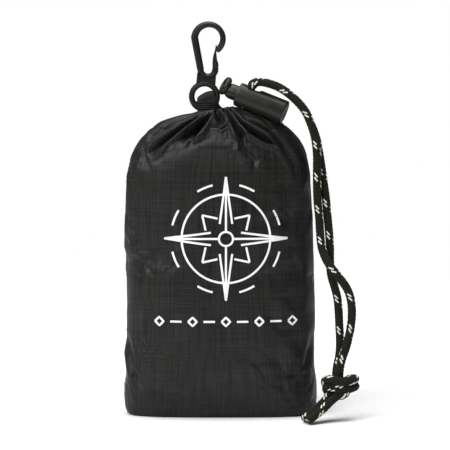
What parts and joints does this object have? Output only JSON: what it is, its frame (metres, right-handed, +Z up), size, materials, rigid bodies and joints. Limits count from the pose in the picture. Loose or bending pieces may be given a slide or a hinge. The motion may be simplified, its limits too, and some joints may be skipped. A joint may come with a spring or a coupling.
{
  "type": "packed packable backpack in its drawstring pouch",
  "caption": "Small backpack packed in a gathered nylon pouch that stands upright, with a webbing tab, plastic snap hook, barrel cord lock and knotted drawcord.",
  "frame": {"origin": "bottom centre of the pouch's flat base, where it stands", "axes": "+Z up along the pouch to its hook, +Y towards its back, +X to the side where the cord lock and cord hang"},
  "size_m": [0.1418, 0.0696, 0.2397],
  "materials": {
    "nylon": "satin coated ripstop nylon",
    "packed_cloth": "folded nylon, hidden",
    "webbing": "ribbed grosgrain webbing",
    "plastic": "satin moulded plastic",
    "cord": "round braid with pale tracer flecks"
  },
  "bodies": {
    "pack": {"pouch": "nylon", "folded_backpack": "packed_cloth", "webbing_tab": "webbing", "snap_hook": "plastic", "toggle_barrel": "plastic", "drawcord_feed": "cord", "drawcord_front": "cord", "drawcord_back": "cord", "cord_knot": "cord", "cord_tail_front": "cord", "cord_tail_back": "cord"},
    "gate": {"hook_gate": "plastic"},
    "plunger": {"toggle_plunger": "plastic"}
  },
  "joints": [
    {"name": "gate_hinge", "type": "hinge", "parent": "pack", "child": "gate", "pos_m": [-0.00301, 0, 0.21288], "axis": [0, -1, 0], "range_deg": [0, 20], "stiffness_Nm_per_rad": 0.05},
    {"name": "plunger_slide", "type": "slide", "parent": "pack", "child": "plunger", "axis": [0.9112, -0.2, -0.3601], "range_m": [0, 0.0025], "stiffness_N_per_m": 800}
  ]
}
